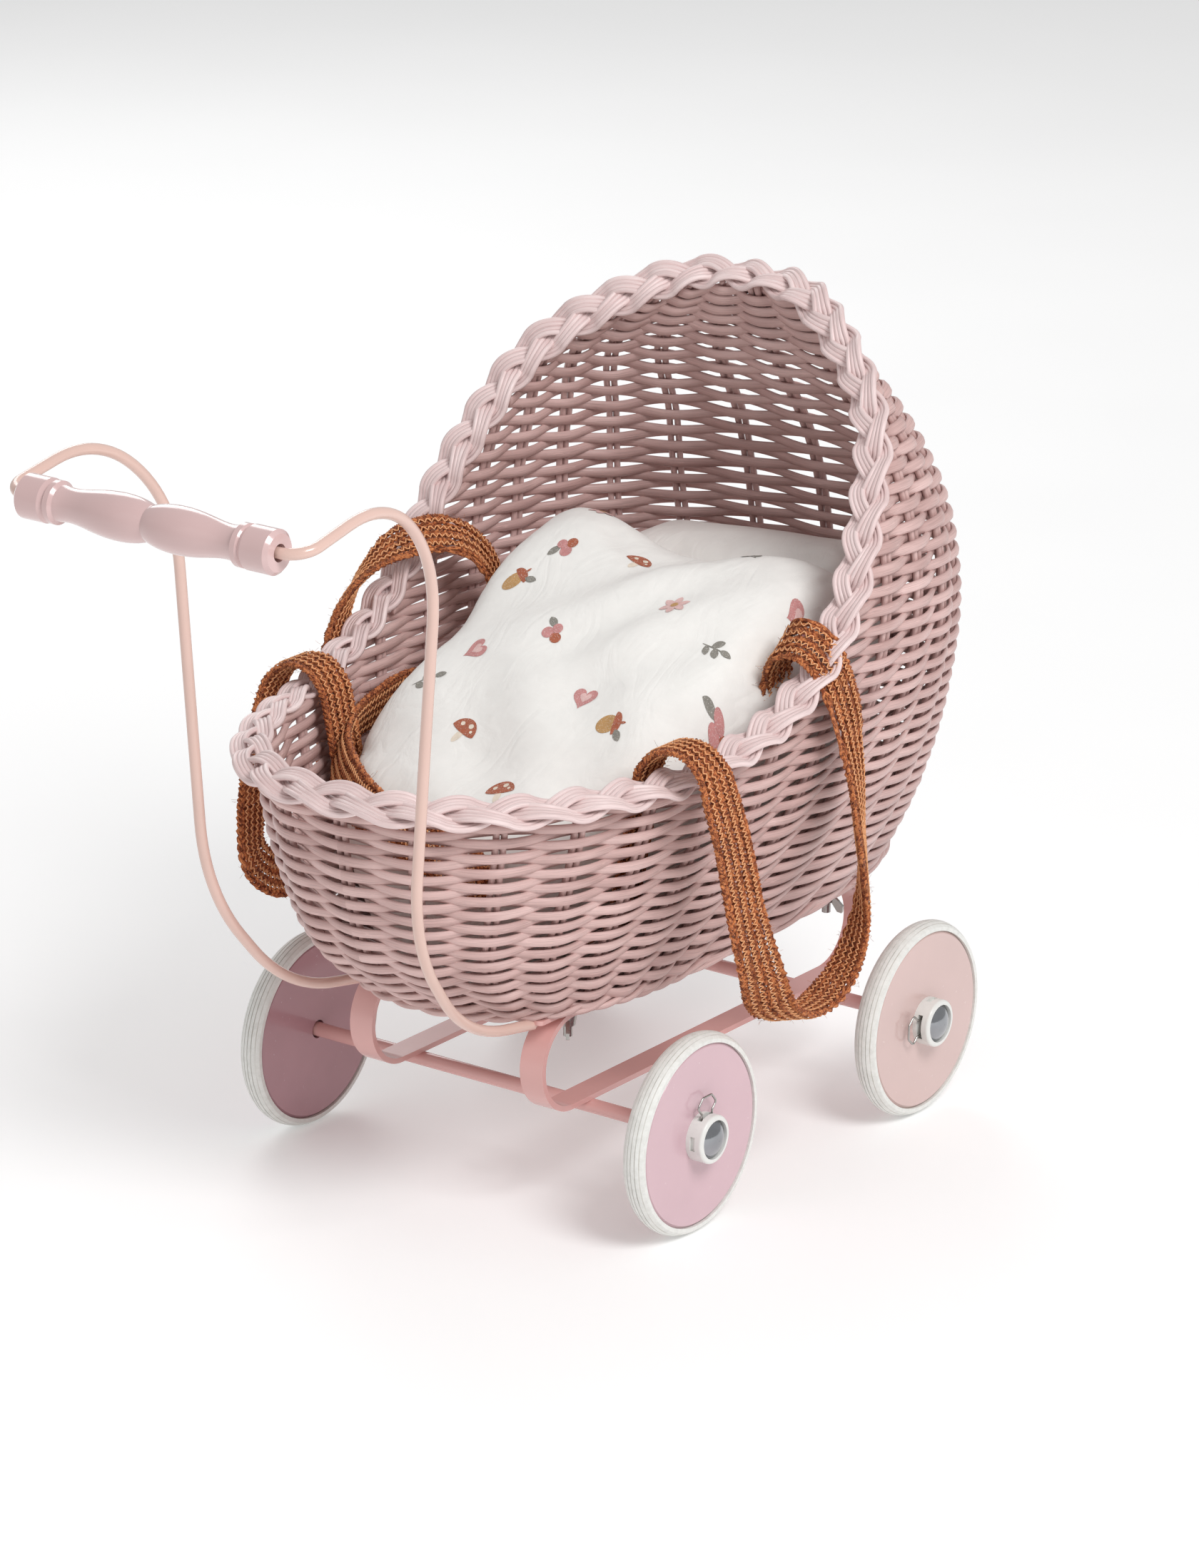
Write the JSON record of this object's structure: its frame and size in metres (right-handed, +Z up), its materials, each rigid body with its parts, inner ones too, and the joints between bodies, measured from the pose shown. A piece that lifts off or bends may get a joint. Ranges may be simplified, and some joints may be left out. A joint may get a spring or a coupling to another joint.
{
  "type": "doll stroller",
  "caption": "Hooded woven doll carriage on a four-wheel flat-bar chassis with a bent-rod push handle, bedding and carry straps.",
  "frame": {"origin": "on the ground, at the centre of the footprint of the whole object's box", "axes": "+X towards the hood, +Y to the left when facing the hood, +Z up"},
  "size_m": [0.6428, 0.305, 0.464],
  "materials": {
    "chassis_paint": "salmon pink gloss paint",
    "rod_paint": "peach pink gloss paint",
    "grip_paint": "turned wood, glossy dusty pink paint",
    "wheel_paint": "painted wood, satin",
    "tyre_rubber": "white rubber, satin",
    "hub_plastic": "white moulded plastic",
    "chrome": "bright",
    "bright_steel": "nickel plated",
    "wicker": "woven cane, dusty pink paint",
    "wicker_rim": "plaited cane, dusty pink paint",
    "bedding": "off-white cotton",
    "bedding_print": "off-white cotton with small scattered motifs",
    "jute": "rust braided jute"
  },
  "bodies": {
    "chassis": {"side_frame_left": "chassis_paint", "side_frame_right": "chassis_paint", "handle_bracket_left": "chassis_paint", "handle_bracket_right": "chassis_paint", "front_axle": "chassis_paint", "rear_axle": "chassis_paint", "handle_rod": "rod_paint", "rear_spacers": "chassis_paint"},
    "carrycot": {"basket_wall": "wicker", "rim_braid": "wicker_rim", "basket_floor": "wicker", "carriage_bolts": "bright_steel", "bolt_washers": "bright_steel", "mattress": "bedding", "pillow": "bedding", "duvet": "bedding_print", "carry_strap_left": "jute", "carry_strap_right": "jute"},
    "grip": {"handle_grip": "grip_paint"},
    "front_left_wheel": {"front_left_wheel_disc": "wheel_paint", "front_left_tyre": "tyre_rubber", "front_left_hub_collar": "hub_plastic", "front_left_hub_cap": "chrome"},
    "front_left_clip": {"front_left_wire_clip": "bright_steel"},
    "front_left_nut": {"front_left_wing_nut": "bright_steel"},
    "front_right_wheel": {"front_right_wheel_disc": "wheel_paint", "front_right_tyre": "tyre_rubber", "front_right_hub_collar": "hub_plastic", "front_right_hub_cap": "chrome"},
    "front_right_clip": {"front_right_wire_clip": "bright_steel"},
    "front_right_nut": {"front_right_wing_nut": "bright_steel"},
    "rear_left_wheel": {"rear_left_wheel_disc": "wheel_paint", "rear_left_tyre": "tyre_rubber", "rear_left_hub_collar": "hub_plastic", "rear_left_hub_cap": "chrome"},
    "rear_left_clip": {"rear_left_wire_clip": "bright_steel"},
    "rear_left_nut": {"rear_left_wing_nut": "bright_steel"},
    "rear_right_wheel": {"rear_right_wheel_disc": "wheel_paint", "rear_right_tyre": "tyre_rubber", "rear_right_hub_collar": "hub_plastic", "rear_right_hub_cap": "chrome"},
    "rear_right_clip": {"rear_right_wire_clip": "bright_steel"},
    "rear_right_nut": {"rear_right_wing_nut": "bright_steel"}
  },
  "joints": [
    {"name": "basket_lift", "type": "slide", "parent": "chassis", "child": "carrycot", "axis": [0, 0, 1], "range_m": [0, 0.12]},
    {"name": "grip_spin", "type": "hinge", "parent": "chassis", "child": "grip", "pos_m": [-0.3092, 0, 0.437], "axis": [0, 1, 0], "continuous": true},
    {"name": "front_left_wheel_spin", "type": "hinge", "parent": "chassis", "child": "front_left_wheel", "pos_m": [-0.016, 0.1286, 0.056], "axis": [0, 1, 0], "continuous": true},
    {"name": "front_left_clip_pull", "type": "slide", "parent": "front_left_wheel", "child": "front_left_clip", "axis": [0, 0, 1], "range_m": [0, 0.006], "stiffness_N_per_m": 60},
    {"name": "front_left_nut_turn", "type": "hinge", "parent": "chassis", "child": "front_left_nut", "pos_m": [-0.03, 0.057, 0.106], "axis": [0, 0, 1], "continuous": true},
    {"name": "front_right_wheel_spin", "type": "hinge", "parent": "chassis", "child": "front_right_wheel", "pos_m": [-0.016, -0.1286, 0.056], "axis": [0, 1, 0], "continuous": true},
    {"name": "front_right_clip_pull", "type": "slide", "parent": "front_right_wheel", "child": "front_right_clip", "axis": [0, 0, 1], "range_m": [0, 0.006], "stiffness_N_per_m": 60},
    {"name": "front_right_nut_turn", "type": "hinge", "parent": "chassis", "child": "front_right_nut", "pos_m": [-0.03, -0.057, 0.106], "axis": [0, 0, 1], "continuous": true},
    {"name": "rear_left_wheel_spin", "type": "hinge", "parent": "chassis", "child": "rear_left_wheel", "pos_m": [0.2055, 0.1286, 0.056], "axis": [0, 1, 0], "continuous": true},
    {"name": "rear_left_clip_pull", "type": "slide", "parent": "rear_left_wheel", "child": "rear_left_clip", "axis": [1, 0, 0], "range_m": [0, 0.006], "stiffness_N_per_m": 60},
    {"name": "rear_left_nut_turn", "type": "hinge", "parent": "chassis", "child": "rear_left_nut", "pos_m": [0.2195, 0.057, 0.106], "axis": [0, 0, 1], "continuous": true},
    {"name": "rear_right_wheel_spin", "type": "hinge", "parent": "chassis", "child": "rear_right_wheel", "pos_m": [0.2055, -0.1286, 0.056], "axis": [0, 1, 0], "continuous": true},
    {"name": "rear_right_clip_pull", "type": "slide", "parent": "rear_right_wheel", "child": "rear_right_clip", "axis": [-1, 0, 0], "range_m": [0, 0.006], "stiffness_N_per_m": 60},
    {"name": "rear_right_nut_turn", "type": "hinge", "parent": "chassis", "child": "rear_right_nut", "pos_m": [0.2195, -0.057, 0.106], "axis": [0, 0, 1], "continuous": true}
  ]
}
